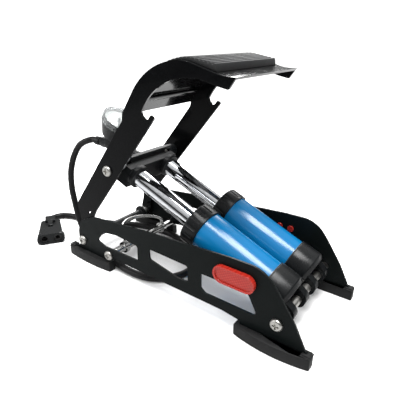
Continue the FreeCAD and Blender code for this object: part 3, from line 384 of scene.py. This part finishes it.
def new_piece(name, verts, faces, body=None):
    mesh = bpy.data.meshes.new(name)
    mesh.from_pydata([tuple(v) for v in verts], [], faces)
    mesh.validate()
    mesh.update()
    piece = link(name, mesh)
    if body:
        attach(piece, body)
    return piece


def welded_copy(node, name):
    """Free copy of a node's mesh with its seams closed and its flats merged."""
    piece = link(name, NODES[node].data.copy())
    with editing(piece) as work:
        bmesh.ops.remove_doubles(work, verts=work.verts, dist=SEAM)
        bmesh.ops.dissolve_limit(work, angle_limit=FLAT, verts=work.verts, edges=work.edges)
    return piece


def round_edges(work, chosen, radius, segments):
    bmesh.ops.bevel(work, geom=chosen, offset=radius, segments=segments, profile=0.5, affect="EDGES",
                    clamp_overlap=True)


def sharper(edge, degrees):
    return len(edge.link_faces) == 2 and edge.calc_face_angle(0.0) > math.radians(degrees)


def middle(node):
    low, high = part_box(node)
    return (low + high) / 2


def sweep(points, radius, sides):
    """Closed tube along a dense path."""
    across = (points[1] - points[0]).normalized().orthogonal().normalized()
    verts, faces = [], []
    for i, point in enumerate(points):
        ahead = points[min(i + 1, len(points) - 1)] - points[max(i - 1, 0)]
        ahead.normalize()
        across = (across - ahead * across.dot(ahead)).normalized()
        other = ahead.cross(across)
        for k in range(sides):
            turn = 2 * math.pi * k / sides
            verts.append(point + (across * math.cos(turn) + other * math.sin(turn)) * radius)
    for i in range(len(points) - 1):
        for k in range(sides):
            a, b = i * sides + k, i * sides + (k + 1) % sides
            faces.append((a, b, b + sides, a + sides))
    faces.append(tuple(reversed(range(sides))))
    faces.append(tuple(range(len(verts) - sides, len(verts))))
    return verts, faces


def between(first, last, start, end, t):
    """first at start, last at end, and a straight run between them."""
    return first * ((end - t) / (end - start)) + last * ((t - start) / (end - start))


def curve_span(p0, p1, p2, p3, steps):
    """Points of a centripetal curve from p1 up to, but without, p2."""
    knots = [0.0]
    for a, b in ((p0, p1), (p1, p2), (p2, p3)):
        knots.append(knots[-1] + max(1e-9, (b - a).length ** 0.5))
    t0, t1, t2, t3 = knots
    span = []
    for k in range(steps):
        t = t1 + (t2 - t1) * k / steps
        a1 = between(p0, p1, t0, t1, t)
        a2 = between(p1, p2, t1, t2, t)
        a3 = between(p2, p3, t2, t3, t)
        b1 = between(a1, a2, t0, t2, t)
        b2 = between(a2, a3, t1, t3, t)
        span.append(between(b1, b2, t1, t2, t))
    return span


def smooth_path(points, step):
    """Smooth curve through the points, thinned to steps at least as long as step."""
    padded = [points[0] * 2 - points[1]] + list(points) + [points[-1] * 2 - points[-2]]
    fine = []
    for i in range(1, len(padded) - 2):
        fine += curve_span(*padded[i - 1:i + 3], SPAN_STEPS)
    fine.append(points[-1].copy())
    even, carried = [fine[0]], 0.0
    for a, b in zip(fine, fine[1:]):
        carried += (b - a).length
        if carried >= step:
            even.append(b)
            carried = 0.0
    even[-1] = fine[-1]
    return even


# ---------------------------------------------------------------- pieces shown in their own shape

# Width of the broken edges, in millimetres.
EDGE_BREAKS = {
    "side_plate_right": 0.35, "side_plate_left": 0.35, "crosshead_block": 0.5, "valve_head_body": 1.2,
    "valve_lever": 0.6, "top_cap_right": 0.4, "top_cap_left": 0.4, "end_cap_right": 0.5,
    "end_cap_left": 0.5, "hinge_spacers": 0.4, "hinge_washers": 0.4, "reflector_right": 0.5,
    "reflector_left": 0.5, "frame_screws": 0.2, "arm_pivot_screws": 0.2, "arm_pivot_bushes": 0.4,
    "gauge_case": 0.3, "crosshead_ferrule": 0.3, "valve_ferrule": 0.3, "barrel_bands": 0.2,
    "front_axle": 0.3, "rear_tie_rod": 0.3,
}

# Pieces whose finish differs from their material slot's.
SPECIAL_FINISH = {
    "hinge_axle": "dark_steel", "front_axle": "zinc_screw", "barrel_bands": "dark_steel",
    "wire_bail": "bright_wire", "crosshead_block": "cast_black", "gauge_needle": "dial_ink",
}


def dress_nodes():
    for name, piece in NODES.items():
        paint(piece, SPECIAL_FINISH.get(name) or SLOTS[name])
        if name in EDGE_BREAKS:
            soften(piece, EDGE_BREAKS[name] * MM)


# ---------------------------------------------------------------- treadle

ARM_FACE = -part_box("treadle_channel")[0].y
CREST_FOOT = 150 * MM
SIDE_SLACK = 0.5 * MM


def face_width(face):
    ys = [v.co.y for v in face.verts]
    return max(ys) - min(ys)


def is_fold(edge):
    """True for the outer edges where the crest of the treadle folds down into its arms."""
    if len(edge.link_faces) != 2 or edge.calc_face_angle(0.0) < math.radians(40):
        return False
    first, second = (v.co for v in edge.verts)
    runs_along_side = abs(first.y - second.y) <= SIDE_SLACK and abs(first.y) > ARM_FACE - SIDE_SLACK
    on_crest = min(first.z, second.z) >= CREST_FOOT
    spans_crest = max(face_width(face) for face in edge.link_faces) >= ARM_FACE
    return runs_along_side and on_crest and spans_crest


def treadle():
    """Folded sheet: round bends along the crest, broken edges elsewhere."""
    piece = welded_copy("treadle_channel", "treadle_sheet")
    with editing(piece) as work:
        round_edges(work, [edge for edge in work.edges if is_fold(edge)], 2.6 * MM, 6)
    paint(piece, "gloss_black_sheet")
    soften(shade(piece), 0.35 * MM)
    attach(piece, "treadle")
    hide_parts("treadle_channel")


# ---------------------------------------------------------------- hose

HOSE_R = 4.1 * MM
HOSE_SIDES = 20
HOSE_REST = HOSE_R + 0.4 * MM
FERRULE_HALF = 4.7 * MM
LEAVING_CROSSHEAD = Vector((-1, 0, 0))
ENTERING_VALVE = Vector((0.832, -0.555, 0)).normalized()

# Millimetres: X, Y, Z of the drop behind the pump, then X, Y of the run round the floor.
HOSE_DROP = [(-40, -3, 133.5), (-52, -8, 127), (-61, -13, 112), (-65.5, -18, 91), (-64.5, -21, 70),
             (-59, -23, 47), (-53, -24.5, 30), (-46, -26, 17), (-36, -28, 9), (-24, -31, 5.5)]
HOSE_ON_FLOOR = [(-10, -34), (8, -38), (28, -43), (48, -48), (65, -51), (81, -51), (95, -48.5),
                 (108, -42), (119, -31.5), (126, -17), (126, 0), (119, 16), (104, 29), (83, 39),
                 (60, 45), (36, 47), (12, 44.5), (-6, 39), (-22, 31), (-40, 21), (-64, 12), (-90, 5),
                 (-110, 0), (-123, -9), (-125.5, -20)]


def hose_points():
    start = middle("crosshead_ferrule") - LEAVING_CROSSHEAD * FERRULE_HALF
    end = middle("valve_ferrule") + ENTERING_VALVE * FERRULE_HALF
    straight_start = [start + LEAVING_CROSSHEAD * step * MM for step in (0, 4, 8, 12, 16)]
    straight_end = [end - ENTERING_VALVE * step * MM for step in (12, 8, 4, 0)]
    drop = [Vector(p) * MM for p in HOSE_DROP]
    floor = [Vector((x * MM, y * MM, HOSE_REST)) for x, y in HOSE_ON_FLOOR]
    return straight_start + drop + floor + straight_end


def piece_of_hose(name, path):
    verts, faces = sweep(path, HOSE_R, HOSE_SIDES)
    piece = new_piece(name, verts, faces)
    paint(piece, "hose_rubber")
    shade(piece)
    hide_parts("air_hose")
    return piece


def air_hose():
    """One hose in two lengths that meet behind the pump."""
    path = smooth_path(hose_points(), 1.6 * MM)
    rear_most = min(range(len(path) // 3), key=lambda i: path[i].x)
    upper = piece_of_hose("air_hose_upper", path[:rear_most + 1])
    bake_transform(upper)
    lower = piece_of_hose("air_hose_lower", path[rear_most:])
    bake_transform(lower)


# ---------------------------------------------------------------- rubber tread and feet

def soft_copy(node, name, body, finish, roundness, segments):
    """Rubber moulding in the shape of a node, with every edge rounded."""
    piece = welded_copy(node, name)
    with editing(piece) as work:
        round_edges(work, [edge for edge in work.edges if sharper(edge, 22)], roundness, segments)
    paint(piece, finish)
    shade(piece, 50)
    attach(piece, body)
    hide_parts(node)


def rubber_parts():
    soft_copy("tread_pad", "tread_rubber_pad", "treadle", "tread_rubber", 0.35 * MM, 2)
    for foot in ("rear_foot_right", "rear_foot_left", "front_foot_right", "front_foot_left"):
        soft_copy(foot, foot + "_rubber", "frame", "black_rubber", 0.8 * MM, 3)


# ---------------------------------------------------------------- springs

def coil(node, name):
    piece = welded_copy(node, name)
    paint(shade(piece), "bright_steel")
    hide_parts(node)
    return piece


def return_spring(side):
    """Coil between the end cap and the piston."""
    piece = coil("return_spring_" + side, "return_coil_" + side)
    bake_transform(piece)


def check_spring():
    """Coil of the outlet check valve."""
    piece = coil("check_spring", "check_coil")
    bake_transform(piece)


# ---------------------------------------------------------------- gauge face

# Degrees, counted anticlockwise from the side of the dial that is nearest the left of the pump;
# the scale itself runs clockwise from its start.
SCALE_START, SCALE_SWEEP = 225, 270
SCALE_R = 15.0 * MM
NUMBER_R = 10.3 * MM
NUMBER_SIZE = 3.6 * MM
PRINT_HEIGHT = 0.06 * MM
SMALL_TICKS, TICKS_PER_NUMBER, TICKS_PER_HALF = 50, 10, 5


def dial_place():
    """Where the print lies: X across the pump, Y up the dial, Z out of the dial."""
    axis = Vector(JOINTS["needle_turn"]["axis"])
    face = max(Vector(v.co).dot(axis) for v in NODES["gauge_dial"].data.vertices)
    centre = middle("gauge_dial")
    centre += axis * (face - centre.dot(axis) + PRINT_HEIGHT)
    across = Vector((0, 1, 0))
    up = axis.cross(across).normalized()
    place = Matrix((across, up, axis)).transposed().to_4x4()
    place.translation = centre
    return place


def spoke(place, angle, radius, sunk=0.0):
    return place @ Vector((math.cos(angle) * radius, math.sin(angle) * radius, -sunk))


def ring_sector(place, name, inner, outer, first, last, finish, sunk=0.0):
    count = 48
    verts = []
    for i in range(count + 1):
        angle = math.radians(first + (last - first) * i / count)
        verts += [spoke(place, angle, inner, sunk), spoke(place, angle, outer, sunk)]
    faces = [(2 * i, 2 * i + 2, 2 * i + 3, 2 * i + 1) for i in range(count)]
    paint(new_piece(name, verts, faces, "crosshead"), finish)


def tick_size(i):
    """Length and half width of a tick, in millimetres."""
    if i % TICKS_PER_NUMBER == 0:
        return 2.6, 0.16
    if i % TICKS_PER_HALF == 0:
        return 1.9, 0.12
    return 1.2, 0.07


def dial_ticks(place):
    verts, faces = [], []
    for i in range(SMALL_TICKS + 1):
        angle = math.radians(SCALE_START - SCALE_SWEEP * i / SMALL_TICKS)
        length, half = tick_size(i)
        across = (place.to_3x3() @ Vector((-math.sin(angle), math.cos(angle), 0))) * half * MM
        near, far = spoke(place, angle, SCALE_R - length * MM), spoke(place, angle, SCALE_R)
        base = len(verts)
        verts += [near - across, near + across, far + across, far - across]
        faces.append((base, base + 1, base + 2, base + 3))
    paint(new_piece("dial_ticks", verts, faces, "crosshead"), "dial_ink")


def text_mesh(words):
    text = bpy.data.curves.new("number", "FONT")
    text.body = words
    text.size = NUMBER_SIZE
    text.align_x = "CENTER"
    text.align_y = "CENTER"
    text.extrude = 0.02 * MM
    holder = link("number", text)
    bpy.context.view_layer.update()
    mesh = bpy.data.meshes.new_from_object(holder)
    bpy.data.objects.remove(holder)
    return mesh


def dial_number(place, i):
    angle = math.radians(SCALE_START - SCALE_SWEEP * i * TICKS_PER_NUMBER / SMALL_TICKS)
    spot = place.copy()
    spot.translation = spoke(place, angle, NUMBER_R)
    mesh = text_mesh(str(2 * i))
    mesh.transform(spot)
    number = link("dial_number_%d" % i, mesh)
    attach(number, "crosshead")
    paint(number, "dial_ink")


def gauge_face():
    """Scale, numbers and pressure band on the dial."""
    place = dial_place()
    ring_sector(place, "dial_scale_ring", 14.9 * MM, 15.2 * MM, SCALE_START - SCALE_SWEEP, SCALE_START,
                "dial_ink")
    ring_sector(place, "dial_red_band", 12.8 * MM, 14.8 * MM, 172, 220, "dial_red", 0.03 * MM)
    dial_ticks(place)
    for i in range(SMALL_TICKS // TICKS_PER_NUMBER + 1):
        dial_number(place, i)


# ---------------------------------------------------------------- stage

FLOOR_HALF = 3.0
SKY_STRENGTH = 0.75
# Brightness of the sky in reflections: straight down, then at shares of the way up, and the share
# from which it is white.
SKY_BOTTOM = 0.1
SKY_BANDS = ((0.5, 0.2), (0.57, 0.3), (0.59, 0.02), (0.68, 0.03), (0.71, 0.45))
SKY_WHITE_FROM = 0.9
LAMPS_AIM = Vector((0.13, 0.0, 0.08))
CAMERA_AT = (0.36223, -0.30415, 0.25635)
CAMERA_AZIMUTH, CAMERA_ELEVATION = math.radians(36.614), math.radians(23.23)
CAMERA_LENS = 34.29


def studio_floor():
    """Flat pale floor that glows a little to the camera, less where things stand close over it, which is a painted
    shadow; reflections see it painted darker.
    """
    made, tree = start_material("studio_floor")
    tone = mix(tree, noise(tree, object_place(tree), 3, 3), grey(0.93), grey(0.96))
    path = add(tree, "LightPath")
    # Painted shade: in reflections the floor shows mid grey instead of its own pale tone.
    tone = mix(tree, path.outputs["Is Glossy Ray"], tone, grey(0.5))
    # Painted shadow: the glow to the camera fades where things stand close over the floor.
    openness = add(tree, "AmbientOcclusion", {"Distance": 0.16}, samples=12).outputs["AO"]
    glow_with_painted_shadow = spread(tree, openness, 0.0, 0.6, 0.55, 0.9)
    finish_material(tree, Base_Color=tone, Roughness=0.7, Specular_IOR_Level=0.1, Emission_Color=grey(1.0),
                    Emission_Strength=maths(tree, "MULTIPLY", path.outputs["Is Camera Ray"], glow_with_painted_shadow))
    corners = [(x * FLOOR_HALF, y * FLOOR_HALF, 0) for x, y in ((-1, -1), (1, -1), (1, 1), (-1, 1))]
    floor = new_piece("studio_floor_sheet", corners, [(0, 1, 2, 3)])
    floor.data.materials.append(made)


def studio_world():
    """Even light, with bright and dark bands that show only in reflections."""
    world = bpy.data.worlds.new("studio")
    bpy.context.scene.world = world
    world.use_nodes = True
    tree = world.node_tree
    tree.nodes.clear()
    up = add(tree, "SeparateXYZ", {0: add(tree, "TexCoord").outputs["Generated"]}).outputs["Z"]
    bands = add(tree, "ValToRGB", {"Fac": spread(tree, up, 0.0, 1.0, -1.0, 1.0)})
    stops = bands.color_ramp.elements
    stops[0].color = grey(SKY_BOTTOM)
    stops[1].position = SKY_WHITE_FROM
    for place, value in SKY_BANDS:
        stops.new(place).color = grey(value)
    path = add(tree, "LightPath")
    shown = mix(tree, path.outputs["Is Glossy Ray"], grey(1.0), bands.outputs["Color"])
    shown = mix(tree, path.outputs["Is Camera Ray"], shown, grey(1.5))
    show(tree, add(tree, "Background", {"Color": shown, "Strength": SKY_STRENGTH}), "OutputWorld")


def studio_lamp(name, spot, wide, tall, power):
    """Soft rectangular lamp aimed at the middle of the pump."""
    data = bpy.data.lights.new(name, "AREA")
    data.shape = "RECTANGLE"
    data.size, data.size_y = wide, tall
    data.energy = power
    lamp = link(name, data)
    lamp.location = spot
    lamp.rotation_mode = "QUATERNION"
    lamp.rotation_quaternion = (LAMPS_AIM - Vector(spot)).to_track_quat("-Z", "Y")


def studio_camera():
    flat = math.cos(CAMERA_ELEVATION)
    back = Vector((math.sin(CAMERA_AZIMUTH) * flat, -math.cos(CAMERA_AZIMUTH) * flat,
                   math.sin(CAMERA_ELEVATION)))
    lens = bpy.data.cameras.new("camera")
    lens.lens = CAMERA_LENS
    lens.clip_start, lens.clip_end = 0.01, 30
    camera = link("camera", lens)
    camera.location = CAMERA_AT
    camera.rotation_mode = "QUATERNION"
    camera.rotation_quaternion = (-back).to_track_quat("-Z", "Y")
    bpy.context.scene.camera = camera
    bpy.context.scene.view_settings.view_transform = "Standard"
    bpy.context.scene.view_settings.exposure = 0.1


dress_nodes()
treadle()
rubber_parts()
air_hose()
return_spring("right")
return_spring("left")
check_spring()
gauge_face()
studio_floor()
studio_world()
studio_lamp("key", (0.35, -0.15, 1.25), 0.6, 0.6, 22)
studio_lamp("fill", (-0.9, -0.9, 0.7), 0.8, 0.8, 6)
studio_lamp("rim", (-0.4, 1.1, 0.8), 0.9, 0.5, 10)
studio_camera()
